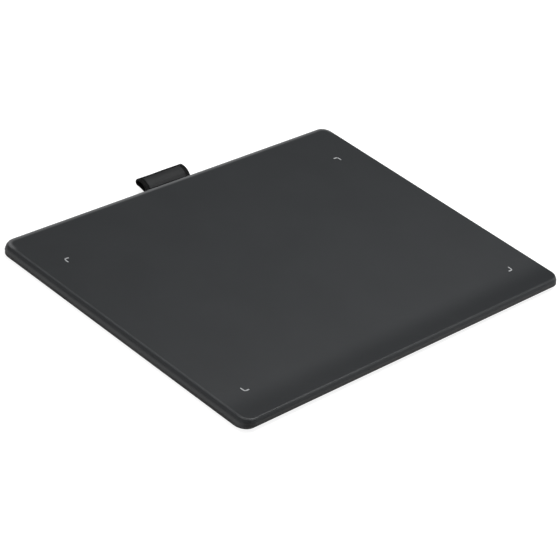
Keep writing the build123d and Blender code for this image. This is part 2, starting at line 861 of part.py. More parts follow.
def loop_patch():
    """The bare patch bonded on the loop's upper layer."""
    level, bend = upper_layer()
    path = Wire([level, bend.trim(0, 1 - patch_root_gap)])
    width = loop_width - 2 * patch_margin
    return band(path, width, patch_thick, lift=(web_thick + patch_thick) / 2)


def save(name, shape):
    """Write one node. A list of separate solids becomes one group."""
    solids = shape if isinstance(shape, list) else [shape]
    group = solids[0] if len(solids) == 1 else Compound(children=[s for s in solids])
    export_step(group, f"parts/{name}.step")
    box = group.bounding_box()
    print(f"{name:20s} {len(group.solids()):3d} solids  z {box.min.Z:6.2f} to {box.max.Z:6.2f}")


save("top_cover", top_cover())
save("bottom_cover", bottom_cover())
save("case_screws", case_screws())
for index, side in enumerate(("front_left", "back_left", "front_right", "back_right")):
    save(f"foot_{side}", rubber_foot(*feet[index]))
save("sensor_bond_film", sensor_bond_film())
save("sensor_board", sensor_board())
save("shield_sheet", shield_sheet())
save("sensor_socket", sensor_socket())
save("sensor_cable", sensor_cable())
save("board_cable_socket", board_cable_socket())
save("main_board", main_board())
save("board_screws", board_screws())
save("processor_chip", processor_chip())
save("wireless_module", wireless_module())
save("module_shield_can", module_shield_can())
save("board_parts", board_parts())
save("usb_shell", usb_shell_part())
save("usb_tongue", usb_tongue())
save("usb_contacts", usb_contacts())
save("status_led", status_led())
save("light_pipe", light_pipe())
save("power_button", power_button())
save("power_switch", power_switch())
save("switch_plunger", switch_plunger())
save("battery_cell", battery_cell())
save("battery_tape", battery_tape())
save("battery_leads", battery_leads())
save("battery_plug", battery_plug())
save("battery_socket", battery_socket())
save("pen_loop", pen_loop())
save("loop_root", loop_root())
save("loop_bar", loop_bar())
save("loop_patch", loop_patch())
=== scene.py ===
# %% [markdown]
# # Dressing a graphics tablet
# The tablet itself, with every piece inside it, comes from the CAD model and is loaded as a fixed frame.
# This lesson gives each surface its finish, and makes the few pieces that CAD does badly: the woven pen
# loop, the patch on it and the four printed marks. All sizes are in metres, so a small helper turns
# millimetres, in which such an object is drawn, into metres.

# %% Load the frame
import math

import bmesh
import bpy
from mathutils import Euler, Matrix, Vector


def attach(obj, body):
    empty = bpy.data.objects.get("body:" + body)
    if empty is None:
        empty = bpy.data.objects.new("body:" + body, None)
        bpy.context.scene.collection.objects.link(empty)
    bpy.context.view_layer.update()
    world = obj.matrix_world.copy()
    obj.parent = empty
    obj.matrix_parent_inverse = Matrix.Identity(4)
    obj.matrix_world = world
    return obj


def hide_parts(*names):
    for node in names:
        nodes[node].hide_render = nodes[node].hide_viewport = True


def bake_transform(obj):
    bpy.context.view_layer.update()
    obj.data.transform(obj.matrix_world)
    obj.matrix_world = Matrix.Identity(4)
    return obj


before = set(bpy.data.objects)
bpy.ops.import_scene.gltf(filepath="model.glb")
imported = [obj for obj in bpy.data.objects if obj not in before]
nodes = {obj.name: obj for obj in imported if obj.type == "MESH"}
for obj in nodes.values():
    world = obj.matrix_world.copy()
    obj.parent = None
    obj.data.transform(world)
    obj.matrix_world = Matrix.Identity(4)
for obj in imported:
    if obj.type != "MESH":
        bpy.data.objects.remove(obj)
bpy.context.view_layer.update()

mm_per_metre = 1000.0


def mm(value):
    """Millimetres as metres."""
    return value / mm_per_metre


# %% [markdown]
# ## The camera
# A product photograph like this one is taken from well back with a long lens, so that the edges of the
# case stay nearly parallel. The place and the tilt were found by laying the case's outline over the
# picture. The camera is rolled a little, which turns the tablet in the frame.

# %% Camera
camera_place = (-0.82686, -0.62849, 0.64625)
camera_angles = (57.145, -10.622, -46.041)  # degrees about X, Y and Z
camera_lens = 153.14
camera_data = bpy.data.cameras.new("camera")
camera_data.lens = camera_lens
camera_data.sensor_width = 36.0
camera_data.clip_start = 0.05
camera_data.clip_end = 30.0
camera = bpy.data.objects.new("camera", camera_data)
camera.location = camera_place
camera.rotation_euler = Euler([math.radians(angle) for angle in camera_angles])
bpy.context.collection.objects.link(camera)
bpy.context.scene.camera = camera
print("camera height, mm:", round(camera_place[2] * mm_per_metre))

# %% [markdown]
# ## Helpers for node trees
# A material is a small network. Writing it line by line is long, so one helper adds a node, gives it its
# settings, and fills its inputs with values or with links. Four more wrap the steps used most: a sum, a
# soft threshold, an even stretch and a blend of two colours. The last ones make a group, place it in a
# material, start a material and add a bump.


# %% Node helpers
def add(tree, kind, inputs=None, **settings):
    """Add a node. Each input gets a value, or the socket that feeds it."""
    made = tree.nodes.new(kind)
    for name, value in settings.items():
        setattr(made, name, value)
    for name, value in (inputs or {}).items():
        if isinstance(value, bpy.types.NodeSocket):
            tree.links.new(value, made.inputs[name])
        else:
            made.inputs[name].default_value = value
    return made


def sums(tree, operation, first, second=0.0):
    """One step of arithmetic on two values or sockets."""
    return add(tree, "ShaderNodeMath", {0: first, 1: second}, operation=operation).outputs[0]


def ramp(tree, value, low, high):
    """0 below low, 1 above high, and a smooth rise between them."""
    inputs = {"Value": value, "From Min": low, "From Max": high}
    made = add(tree, "ShaderNodeMapRange", inputs, interpolation_type="SMOOTHSTEP")
    return made.outputs["Result"]


def spread(tree, value, low, high):
    """A value from 0 to 1 stretched evenly to run from low to high."""
    inputs = {"Value": value, "To Min": low, "To Max": high}
    return add(tree, "ShaderNodeMapRange", inputs).outputs["Result"]


def blend(tree, share, first, second):
    """The first colour where share is 0, the second where it is 1."""
    made = add(tree, "ShaderNodeMix", {0: share, 6: first, 7: second}, data_type="RGBA")
    return made.outputs[2]


def grey(level, tint=0.0):
    """A neutral colour. A positive tint makes it a little cooler."""
    return (level * (1 - tint), level, level * (1 + tint), 1.0)


def new_group(name, inputs, outputs):
    """An empty shader node group with named inputs and outputs."""
    tree = bpy.data.node_groups.new(name, "ShaderNodeTree")
    for label, value in inputs.items():
        socket = tree.interface.new_socket(label, in_out="INPUT", socket_type="NodeSocketFloat")
        socket.default_value = value
    for label in outputs:
        tree.interface.new_socket(label, in_out="OUTPUT", socket_type="NodeSocketFloat")
    return tree, tree.nodes.new("NodeGroupInput").outputs, tree.nodes.new("NodeGroupOutput").inputs


def use(tree, group, **inputs):
    """Place a group in a material and hand back its outputs."""
    names = {label.replace("_", " "): value for label, value in inputs.items()}
    return add(tree, "ShaderNodeGroup", names, node_tree=group).outputs


def new_material(name, **constants):
    """A material with one Principled shader, whose plain values are set on its own sockets."""
    material = bpy.data.materials.new(name)
    material.use_nodes = True
    shader = material.node_tree.nodes["Principled BSDF"]
    for label, value in constants.items():
        shader.inputs[label.replace("_", " ")].default_value = value
    return material, material.node_tree, shader


def bump(tree, shader, height, depth, strength=1.0, over=None):
    """Let a height, in parts of depth, tilt the surface for the light, over another bump's normal."""
    inputs = {"Height": height, "Distance": depth, "Strength": strength}
    if over:
        inputs["Normal"] = over
    made = add(tree, "ShaderNodeBump", inputs)
    tree.links.new(made.outputs["Normal"], shader.inputs["Normal"])
    return made.outputs["Normal"]


# %% [markdown]
# ## Where a point lies on the case
# Wear, dust, and the painted shade and painted highlights of the case follow its shape: they lie near its
# rim. A CAD mesh has no map that tells how far a point is from an edge, but the case is a rounded
# rectangle, and the distance to one is a short sum. This group works it out from Object coordinates, in
# millimetres: how far in from the widest line, how far from the front line, and how high above the desk.

# %% Places on the case
case_width = 240.0
case_depth = 175.5
corner_radius = 6.9
case_y = -4.85           # of the case's middle, because the loop stands out behind


def build_case_place():
    """Group: the inset, how far into a corner, the distance from the front and the height, in mm."""
    tree, _, out = new_group("case_place", {}, ["Inset", "Corner", "From Front", "Height"])
    coordinates = add(tree, "ShaderNodeTexCoord").outputs["Object"]
    enlarge = {0: coordinates, "Scale": mm_per_metre}
    millimetres = add(tree, "ShaderNodeVectorMath", enlarge, operation="SCALE").outputs[0]
    centred = {0: millimetres, 1: (0.0, case_y, 0.0)}
    centred = add(tree, "ShaderNodeVectorMath", centred, operation="SUBTRACT").outputs[0]
    folded = add(tree, "ShaderNodeVectorMath", {0: centred}, operation="ABSOLUTE").outputs[0]
    inner = (case_width / 2 - corner_radius, case_depth / 2 - corner_radius, 0.0)
    past = add(tree, "ShaderNodeVectorMath", {0: folded, 1: inner}, operation="SUBTRACT").outputs[0]
    past = add(tree, "ShaderNodeSeparateXYZ", {0: past}).outputs
    across = sums(tree, "MAXIMUM", past["X"])
    along = sums(tree, "MAXIMUM", past["Y"])
    squares = sums(tree, "ADD", sums(tree, "POWER", across, 2.0), sums(tree, "POWER", along, 2.0))
    outside = sums(tree, "SQRT", squares)
    inside = sums(tree, "MINIMUM", sums(tree, "MAXIMUM", past["X"], past["Y"]))
    distance = sums(tree, "ADD", outside, inside)
    tree.links.new(sums(tree, "SUBTRACT", corner_radius, distance), out["Inset"])
    tree.links.new(sums(tree, "MINIMUM", past["X"], past["Y"]), out["Corner"])
    parts = add(tree, "ShaderNodeSeparateXYZ", {0: centred}).outputs
    tree.links.new(sums(tree, "ADD", parts["Y"], case_depth / 2), out["From Front"])
    tree.links.new(parts["Z"], out["Height"])
    return tree


case_place = build_case_place()
print("group:", case_place.name)

# %% [markdown]
# ## Grain, mottle and hairlines
# Moulded plastic of this kind takes the fine pits of a spark-eroded mould, a third of a millimetre apart.
# Its colour is not quite even either, and use leaves hairlines. Each is a noise at its own scale. Very
# thin lines come from a noise stretched some thirty times along one direction, so that its ridges are long.

# %% Grain and hairline groups
noise_range = (0.3, 0.7)         # nearly all of a noise lies between these
hairline_stretch = 0.03
hairline_level = 0.78
hairline_softness = 0.04


def build_moulded_grain():
    """Group: fine pits as a height, and a broad unevenness of tone, both from 0 to 1."""
    tree, given, out = new_group("moulded_grain", {"Grain Size": 0.3, "Patch Size": 25.0}, ["Pits", "Mottle"])
    coordinates = add(tree, "ShaderNodeTexCoord").outputs["Object"]
    for label, size, detail in (("Pits", "Grain Size", 3.0), ("Mottle", "Patch Size", 4.0)):
        scale = sums(tree, "DIVIDE", mm_per_metre, given[size])
        inputs = {"Vector": coordinates, "Scale": scale, "Detail": detail, "Roughness": 0.6}
        noise = add(tree, "ShaderNodeTexNoise", inputs).outputs["Fac"]
        tree.links.new(ramp(tree, noise, *noise_range), out[label])
    return tree


def build_hairlines():
    """Group: a mask of long thin scratches that run along X turned by an angle."""
    tree, given, out = new_group("hairlines", {"Angle": 0.0, "Spacing": 1.2, "Share": 0.15}, ["Mask"])
    coordinates = add(tree, "ShaderNodeTexCoord").outputs["Object"]
    turn = {"Vector": coordinates, "Angle": given["Angle"]}
    turned = add(tree, "ShaderNodeVectorRotate", turn, rotation_type="Z_AXIS").outputs[0]
    along = {0: turned, 1: (hairline_stretch, 1.0, 1.0)}
    along = add(tree, "ShaderNodeVectorMath", along, operation="MULTIPLY").outputs[0]
    scale = sums(tree, "DIVIDE", mm_per_metre, given["Spacing"])
    inputs = {"Vector": along, "Scale": scale, "Detail": 2.0, "Roughness": 0.5}
    noise = add(tree, "ShaderNodeTexNoise", inputs).outputs["Fac"]
    edge = sums(tree, "SUBTRACT", hairline_level, given["Share"])
    inputs = {"Value": noise, "From Min": edge, "From Max": sums(tree, "ADD", edge, hairline_softness)}
    tree.links.new(add(tree, "ShaderNodeMapRange", inputs).outputs["Result"], out["Mask"])
    return tree


moulded_grain = build_moulded_grain()
hairlines = build_hairlines()
print("groups:", moulded_grain.name, hairlines.name)

# %% [markdown]
# ## The top cover's plastic
# The work face, the sloping rim and the skirt are one moulding in dark charcoal. It reflects little and
# softly, so the specular level is lowered and the roughness is near a half. The tone is almost even, as
# a fine mould leaves it. What breaks it up follows the shape, and it is painted light: painted shade in a
# band along the front edge, a painted reflection that makes the skirt paler than the slope above it,
# painted shade at the foot of the front skirt, and a painted highlight that makes the rim paler, most of
# all along the back edge and at the corners. Where the rim is paler, its roughness is a little lower, as
# rubbing leaves it. The rim is also rolled a little. That roll is a second bump under the grain's, which
# falls with the square of the way towards the edge. Each tone below is a share of the plain plastic's.

# %% Case plastic
case_tone = 0.0235
case_mottle = (0.97, 1.02)
# painted shade: a darker tone in a band along the front edge of the face
front_shade_share = 0.34
# painted reflection: the skirt is given a paler tone than the slope above it
skirt_light_share = 1.85
# painted shade: the foot of the front skirt is given a darker tone
foot_shade_share = 0.1
scratch_share = 1.5
# painted highlight: the rim's top edge is given a paler tone
rim_highlight_share = 2.5
# painted highlight, stronger at the corners of the rim
corner_highlight_share = 4.4
# painted highlight: a pale line along the back edge of the rim
back_highlight_tone = 0.14             # in itself, and not a share
scratch_strength = 0.25
# how much of the painted rim highlight is kept inside the painted front shade
highlight_in_front_shade = 0.6
face_levels = (6.5, 6.85)       # heights: the flat face starts between these
skirt_light_levels = (4.7, 4.3)       # the skirt turns paler between these
foot_levels = (5.7, 4.2)        # and the front skirt darkens between these
rim_levels = (6.3, 6.6)
foot_reach = (6.0, 1.5)         # distances from the front line
front_shade_reach = (21.0, 6.0)
back_highlight_reach = (164.0, 171.0)
rim_inset = (2.4, 1.6)       # distances in from the outline
back_highlight_inset = (4.0, 2.0)
roll_inset = (2.3, 1.2)
roll_depth = 0.2
corner_reach = (-3.0, 1.5)      # how far into a corner's rounding
case_roughness = (0.455, 0.48)
rubbed_gloss = 0.08
case_pit_depth = 0.012


def build_case_plastic():
    """The top cover's matt charcoal plastic, with painted shade and painted highlights in its tone."""
    material, tree, shader = new_material("case_plastic", Specular_IOR_Level=0.35)
    place = use(tree, case_place)
    grain = use(tree, moulded_grain, Grain_Size=0.32, Patch_Size=30.0)
    on_face = ramp(tree, place["Height"], *face_levels)
    low, high = (grey(case_tone * share, 0.08) for share in case_mottle)
    tone = blend(tree, grain["Mottle"], low, high)

    # painted shade: the band along the front edge of the face is given a darker tone
    front_shade = sums(tree, "MULTIPLY", ramp(tree, place["From Front"], *front_shade_reach), on_face)
    tone = blend(tree, front_shade, tone, grey(case_tone * front_shade_share, 0.2))
    # painted reflection: the skirt below the slope is given a paler tone
    skirt_light = ramp(tree, place["Height"], *skirt_light_levels)
    tone = blend(tree, skirt_light, tone, grey(case_tone * skirt_light_share, 0.03))
    # painted shade: the lower part of the front skirt is given a darker tone
    foot = ramp(tree, place["Height"], *foot_levels)
    foot = sums(tree, "MULTIPLY", foot, ramp(tree, place["From Front"], *foot_reach))
    tone = blend(tree, foot, tone, grey(case_tone * foot_shade_share, 0.06))
    scratch = use(tree, hairlines, Angle=0.5, Spacing=0.9, Share=0.1)["Mask"]
    scratch = sums(tree, "MULTIPLY", scratch, scratch_strength)
    tone = blend(tree, scratch, tone, grey(case_tone * scratch_share, 0.02))

    # painted highlight: a paler tone along the rim's top edge. The same mask lowers the rim's roughness a
    # little, as rubbing does.
    rim_wear_and_highlight = ramp(tree, place["Inset"], *rim_inset)
    rim_wear_and_highlight = sums(tree, "MULTIPLY", rim_wear_and_highlight, ramp(tree, place["Height"], *rim_levels))
    rim_wear_and_highlight = sums(tree, "MULTIPLY", rim_wear_and_highlight, spread(tree, grain["Mottle"], 0.6, 1.0))
    rim_wear_and_highlight = sums(tree, "MULTIPLY", rim_wear_and_highlight, spread(tree, front_shade, 1.0, highlight_in_front_shade))
    # painted highlight: the rim's paler tone grows stronger into the corners
    corner = ramp(tree, place["Corner"], *corner_reach)
    rim_highlight_tone = grey(case_tone * rim_highlight_share, 0.05)
    rim_highlight_tone = blend(tree, corner, rim_highlight_tone, grey(case_tone * corner_highlight_share, 0.03))
    tone = blend(tree, rim_wear_and_highlight, tone, rim_highlight_tone)
    # painted highlight: a pale line along the back edge of the rim
    back_highlight = sums(tree, "MULTIPLY", on_face, ramp(tree, place["Inset"], *back_highlight_inset))
    back_highlight = sums(tree, "MULTIPLY", back_highlight, ramp(tree, place["From Front"], *back_highlight_reach))
    back_highlight = sums(tree, "MULTIPLY", back_highlight, spread(tree, grain["Mottle"], 0.8, 1.0))
    tone = blend(tree, back_highlight, tone, grey(back_highlight_tone, 0.02))
    tree.links.new(tone, shader.inputs["Base Color"])

    rough = spread(tree, grain["Mottle"], *case_roughness)
    rough = sums(tree, "SUBTRACT", rough, sums(tree, "MULTIPLY", rim_wear_and_highlight, rubbed_gloss))
    tree.links.new(rough, shader.inputs["Roughness"])
    roll = {"Value": place["Inset"], "From Min": roll_inset[0], "From Max": roll_inset[1]}
    roll = add(tree, "ShaderNodeMapRange", roll).outputs["Result"]
    fall = sums(tree, "SUBTRACT", 1.0, sums(tree, "MULTIPLY", roll, roll))
    rolled = bump(tree, shader, fall, mm(roll_depth))
    bump(tree, shader, grain["Pits"], mm(case_pit_depth), 0.6, over=rolled)
    return material


case_plastic = build_case_plastic()
print("material:", case_plastic.name)

# %% [markdown]
# ## The tray's plastic
# The lower case comes from another tool with a coarser texture, and it is darker and reflects less.
# Dust settles on its sloping sides, though hardly at the front, where the tray is drawn in further. The
# underside shows the faint rub marks of a desk, two ways.

# %% Tray plastic
tray_tone = 0.022
tray_mottle = (0.96, 1.04)
dust_tone = 0.1
dust_share = (0.36, 0.62)
dust_at_front = 0.1
dust_inset = (3.0, 0.2)         # distances in from the outline
dust_reach = (1.5, 6.0)         # distances from the front line
underside_levels = (1.3, 1.0)
rub_marks = ((1.1, 1.0), (-0.4, 0.7))    # angle and spacing
rub_strength = 0.25
tray_roughness = (0.62, 0.74)
tray_pit_depth = 0.03


def build_tray_plastic():
    """The lower case's coarser and darker plastic."""
    material, tree, shader = new_material("tray_plastic", Specular_IOR_Level=0.05)
    place = use(tree, case_place)
    grain = use(tree, moulded_grain, Grain_Size=0.55, Patch_Size=18.0)
    low, high = (grey(tray_tone * share, 0.02) for share in tray_mottle)
    tone = blend(tree, grain["Mottle"], low, high)
    dust = ramp(tree, place["Inset"], *dust_inset)
    dust = sums(tree, "MULTIPLY", dust, spread(tree, grain["Mottle"], *dust_share))
    beside = ramp(tree, place["From Front"], *dust_reach)
    dust = sums(tree, "MULTIPLY", dust, spread(tree, beside, dust_at_front, 1.0))
    tone = blend(tree, dust, tone, grey(dust_tone))
    for angle, spacing in rub_marks:
        rub = use(tree, hairlines, Angle=angle, Spacing=spacing, Share=0.1)["Mask"]
        rub = sums(tree, "MULTIPLY", rub, ramp(tree, place["Height"], *underside_levels))
        tone = blend(tree, sums(tree, "MULTIPLY", rub, rub_strength), tone, grey(tray_tone * 2.0))
    tree.links.new(tone, shader.inputs["Base Color"])
    tree.links.new(spread(tree, grain["Pits"], *tray_roughness), shader.inputs["Roughness"])
    bump(tree, shader, grain["Pits"], mm(tray_pit_depth), 0.8)
    return material


tray_plastic = build_tray_plastic()
print("material:", tray_plastic.name)

# %% [markdown]
# ## The floor
# A product stands on a white sweep under soft light. Here the floor is a large pale sheet. For the camera
# it gives a little light of its own, so that it shows white without more light on the tablet, and its
# shadow stays. Mirrored in the case, or seen through clear plastic, it gives less. From below it is
# clear, and shadow rays pass it, so a lamp under it lights the underside and nothing else.

# %% Floor
floor_half = 6.0                # metres
floor_own_light = 0.88
mirrored_own_light = 0.6
paper_tones = (0.84, 0.88)
seen_paper_tone = 0.35          # darker where its own light adds to it
fibre_scale = 900.0


def build_floor_paper():
    """White paper, with a little light of its own for what the camera sees."""
    material, tree, shader = new_material("floor_paper", Roughness=0.9, Specular_IOR_Level=0.2)
    path = add(tree, "ShaderNodeLightPath").outputs
    mirrored = sums(tree, "MAXIMUM", path["Is Glossy Ray"], path["Is Transmission Ray"])
    seen = sums(tree, "MAXIMUM", path["Is Camera Ray"], mirrored)
    coordinates = add(tree, "ShaderNodeTexCoord").outputs["Object"]
    fibre = {"Vector": coordinates, "Scale": fibre_scale, "Detail": 3.0}
    fibre = add(tree, "ShaderNodeTexNoise", fibre).outputs["Fac"]
    low, high = (grey(tone) for tone in paper_tones)
    plain = blend(tree, fibre, low, high)
    tree.links.new(blend(tree, seen, plain, grey(seen_paper_tone)), shader.inputs["Base Color"])
    shader.inputs["Emission Color"].default_value = grey(1.0)
    own = sums(tree, "MULTIPLY", path["Is Camera Ray"], floor_own_light)
    own = sums(tree, "ADD", own, sums(tree, "MULTIPLY", mirrored, mirrored_own_light))
    tree.links.new(own, shader.inputs["Emission Strength"])
    clear = add(tree, "ShaderNodeBsdfTransparent")
    below = add(tree, "ShaderNodeNewGeometry").outputs["Backfacing"]
    below = sums(tree, "MAXIMUM", below, path["Is Shadow Ray"])
    both = add(tree, "ShaderNodeMixShader", {0: below, 1: shader.outputs[0], 2: clear.outputs[0]})
    tree.links.new(both.outputs[0], tree.nodes["Material Output"].inputs["Surface"])
    return material


def finish_mesh(name, shape, material=None):
    """Turn a bmesh into an object at the origin, with a finish."""
    mesh = bpy.data.meshes.new(name)
    shape.to_mesh(mesh)
    shape.free()
    piece = bpy.data.objects.new(name, mesh)
    bpy.context.collection.objects.link(piece)
    if material:
        mesh.materials.append(material)
    return piece


sheet = bmesh.new()
bmesh.ops.create_grid(sheet, x_segments=1, y_segments=1, size=floor_half)
floor = finish_mesh("floor", sheet, build_floor_paper())
print("floor, metres across:", 2 * floor_half)

# %% [markdown]
# ## The sky
# The world lights what the lamps don't. It is plain white for the camera. For the tablet it is a little
# brighter at the horizon, as a sweep of paper is, darker overhead, and black below the horizon, where
# only the lamp under the floor should light it.

# %% Sky
horizon_light = 0.5
overhead_light = 0.12
sweep_rise = (0.02, 0.12)       # upward part of the direction, from 0 to 1
ground_fall = (0.0, -0.01)
sky = bpy.data.worlds.new("studio_sky")
sky.use_nodes = True
bpy.context.scene.world = sky
sky_tree = sky.node_tree
direction = add(sky_tree, "ShaderNodeTexCoord").outputs["Generated"]
height = add(sky_tree, "ShaderNodeSeparateXYZ", {0: direction}).outputs["Z"]
above = ramp(sky_tree, height, *sweep_rise)
shade = blend(sky_tree, above, grey(horizon_light), grey(overhead_light))
shade = blend(sky_tree, ramp(sky_tree, height, *ground_fall), shade, grey(0.0))
watched = add(sky_tree, "ShaderNodeLightPath").outputs["Is Camera Ray"]
shade = blend(sky_tree, watched, shade, grey(1.0))
sky_tree.links.new(shade, sky_tree.nodes["Background"].inputs["Color"])
print("sky ready:", sky.name)

# %% [markdown]
# ## Soft lamps
# The lamps are soft boxes. Their watts were found by solving for them: the tablet was rendered with one
# lamp at a time, and the mix was taken whose sum came closest to the tones of the picture. front_top
# hangs low over the front half and gives the face its slow rise towards the user. The two panels and the
# overhead lamp light the whole, left_strip draws the left side, and under_floor is for views from below.


# %% Lamps
def softbox(name, place, size, watts, aim=(0.0, 0.0, 0.0)):
    """A rectangular soft lamp that points at aim. Its place and its size are in metres."""
    data = bpy.data.lights.new(name, "AREA")
    data.shape = "RECTANGLE"
    data.size, data.size_y = size
    data.energy = watts
    lamp = bpy.data.objects.new(name, data)
    lamp.location = place
    lamp.rotation_euler = (Vector(aim) - Vector(place)).to_track_quat("-Z", "Y").to_euler()
    bpy.context.collection.objects.link(lamp)


softbox("right_panel", place=(0.84, -0.07, 1.0), size=(1.0, 1.0), watts=2.7)
softbox("overhead", place=(0.05, 0.59, 1.27), size=(0.7, 0.7), watts=1.9)
softbox("left_panel", place=(-0.7, 0.3, 0.9), size=(0.8, 0.8), watts=1.8)
softbox("left_strip", place=(-0.9, 0.0, 0.22), size=(1.2, 0.3), watts=0.8)
softbox("front_top", place=(0.1, -0.1, 0.5), size=(0.4, 0.3), watts=2.55, aim=(0.1, -0.1, 0.0))
softbox("front_right", place=(0.6, -0.65, 0.4), size=(0.6, 0.4), watts=0.3)
softbox("under_floor", place=(0.0, 0.0, -0.16), size=(0.18, 0.13), watts=0.5)

# %% [markdown]
# ## Metals
# The screws are black oxide steel, the socket's shell is drawn and nickel plated, and the cans and the
# sheet behind the sensor are tinned. A rolled or drawn metal shows fine lines one way. The same stretched
# noise as for the hairlines makes them, but dense, and it only changes the roughness and the bump.

# %% Metals
metal_dark_share = 0.88         # of its tone, where a metal is darkest
drawn_spacing = 0.25
drawn_roughness = 0.12          # what the lines add to the roughness
worn_range = (0.75, 0.95)
worn_strength = 0.6


def opaque(tone, share=1.0):
    """A tone of red, green and blue, at a share of its strength, as a full colour."""
    return [part * share for part in tone] + [1.0]


def build_metal(name, tone, rough, angle=0.0, worn_tone=None):
    """A metal with fine drawing lines, and paler wear where worn_tone is given."""
    material, tree, shader = new_material(name, Metallic=1.0)
    lined = use(tree, hairlines, Angle=angle, Spacing=drawn_spacing, Share=0.3)["Mask"]
    grain = use(tree, moulded_grain, Grain_Size=0.15, Patch_Size=2.5)
    colour = blend(tree, grain["Mottle"], opaque(tone, metal_dark_share), opaque(tone))
    if worn_tone:
        share = sums(tree, "MULTIPLY", ramp(tree, grain["Mottle"], *worn_range), worn_strength)
        colour = blend(tree, share, colour, opaque(worn_tone))
    tree.links.new(colour, shader.inputs["Base Color"])
    tree.links.new(spread(tree, lined, rough, rough + drawn_roughness), shader.inputs["Roughness"])
    bump(tree, shader, lined, mm(0.004), 0.4)
    return material


screw_steel = build_metal("screw_steel", (0.022, 0.022, 0.024), rough=0.38, worn_tone=(0.2, 0.2, 0.2))
shield_steel = build_metal("shield_steel", (0.55, 0.56, 0.58), rough=0.34, angle=0.2)
socket_steel = build_metal("socket_steel", (0.52, 0.53, 0.54), rough=0.24, angle=1.57)
contact_metal = build_metal("contact_metal", (0.83, 0.62, 0.28), rough=0.22, angle=1.57)
print("metals ready")

# %% [markdown]
# ## Small mouldings, rubber and insulation
# The button, the feet, the sockets and the chips are all mouldings that differ in tone, gloss and
# grain. One function makes them, and each gets its own values, so that no two look alike.

# %% Mouldings
mould_dark_share = 0.86
mould_roughness = 0.08          # what the mottle adds to the roughness
pit_dust_range = (0.6, 0.9)
pit_dust_tone = 0.25


def build_moulding(name, tone, rough, grain_size, pit_depth, dust=0.0, **constants):
    """A moulded part: an uneven tone, pits of the given size, and a little dust in them."""
    material, tree, shader = new_material(name, **constants)
    grain = use(tree, moulded_grain, Grain_Size=grain_size, Patch_Size=grain_size * 30)
    colour = blend(tree, grain["Mottle"], opaque(tone, mould_dark_share), opaque(tone))
    if dust:
        share = sums(tree, "MULTIPLY", ramp(tree, grain["Pits"], *pit_dust_range), dust)
        colour = blend(tree, share, colour, grey(pit_dust_tone))
    tree.links.new(colour, shader.inputs["Base Color"])
    uneven = spread(tree, grain["Mottle"], rough, rough + mould_roughness)
    tree.links.new(uneven, shader.inputs["Roughness"])
    bump(tree, shader, grain["Pits"], mm(pit_depth), 0.6)
    return material


button_plastic = build_moulding(
    "button_plastic",
    (0.03, 0.03, 0.031),
    rough=0.26,
    grain_size=0.2,
    pit_depth=0.004,
    Coat_Weight=0.3,
    Coat_Roughness=0.2,
)
foot_rubber = build_moulding(
    "foot_rubber", (0.012, 0.012, 0.012), rough=0.72, grain_size=0.4, pit_depth=0.02, dust=0.12
)
socket_plastic = build_moulding(
    "socket_plastic", (0.66, 0.62, 0.52), rough=0.42, grain_size=0.2, pit_depth=0.006
)
chip_plastic = build_moulding(
    "chip_plastic", (0.014, 0.014, 0.015), rough=0.5, grain_size=0.12, pit_depth=0.006, dust=0.03
)
lead_rubber = build_moulding(
    "lead_rubber", (0.3, 0.02, 0.015), rough=0.4, grain_size=0.25, pit_depth=0.004
)
lamp_white = build_moulding("lamp_white", (0.8, 0.8, 0.68), rough=0.25, grain_size=0.3, pit_depth=0.003)
clear_plastic = build_moulding(
    "clear_plastic",
    (0.9, 0.93, 0.94),
    rough=0.22,
    grain_size=0.25,
    pit_depth=0.003,
    Transmission_Weight=0.85,
    IOR=1.49,
)
clear_film = build_moulding(
    "clear_film",
    (0.85, 0.84, 0.78),
    rough=0.3,
    grain_size=0.5,
    pit_depth=0.01,
    Transmission_Weight=0.5,
    IOR=1.46,
)
print("mouldings ready")

# %% [markdown]
# ## Circuit boards
# A board is glass fibre under a green mask. Where copper runs beneath it the mask looks paler and stands
# a little higher. The tracks of a real board follow a grid, so a Voronoi texture with square distances,
# read near the edges of its cells, gives lines that turn at right angles. Small dots are the vias.

# %% Circuit board
track_cells = 420.0             # cells in a metre
track_edge = (0.16, 0.1)
via_cells = 330.0
via_edge = (0.12, 0.08)
mask_tones = ((0.008, 0.07, 0.032, 1.0), (0.012, 0.09, 0.042, 1.0))
mask_over_copper = (0.025, 0.17, 0.075, 1.0)
tinned_tone = (0.6, 0.52, 0.3, 1.0)
track_height = 0.03


def build_circuit_board():
    """Green solder mask over copper tracks and vias."""
    material, tree, shader = new_material("circuit_board", Coat_Weight=0.35, Coat_Roughness=0.2)
    coordinates = add(tree, "ShaderNodeTexCoord").outputs["Object"]
    cells = {"Vector": coordinates, "Scale": track_cells, "Randomness": 0.75}
    near, far = (
        add(tree, "ShaderNodeTexVoronoi", cells, distance="CHEBYCHEV", feature=feature).outputs["Distance"]
        for feature in ("F1", "F2")
    )
    tracks = ramp(tree, sums(tree, "SUBTRACT", far, near), *track_edge)
    vias = {"Vector": coordinates, "Scale": via_cells, "Randomness": 1.0}
    vias = add(tree, "ShaderNodeTexVoronoi", vias).outputs["Distance"]
    vias = ramp(tree, vias, *via_edge)
    grain = use(tree, moulded_grain, Grain_Size=0.5, Patch_Size=8.0)
    base = blend(tree, grain["Mottle"], *mask_tones)
    copper = blend(tree, tracks, base, mask_over_copper)
    tree.links.new(blend(tree, vias, copper, tinned_tone), shader.inputs["Base Color"])
    tree.links.new(spread(tree, grain["Mottle"], 0.3, 0.42), shader.inputs["Roughness"])
    bump(tree, shader, sums(tree, "MAXIMUM", tracks, vias), mm(track_height), 0.6)
    return material


circuit_board = build_circuit_board()
print("material:", circuit_board.name)

# %% [markdown]
# ## Flat cable and battery pouch
# A flat cable is a row of copper strips between two white films, half a millimetre apart, so a sine
# across its width draws it. The battery is a pouch of laminated foil: soft, silvery, and creased.

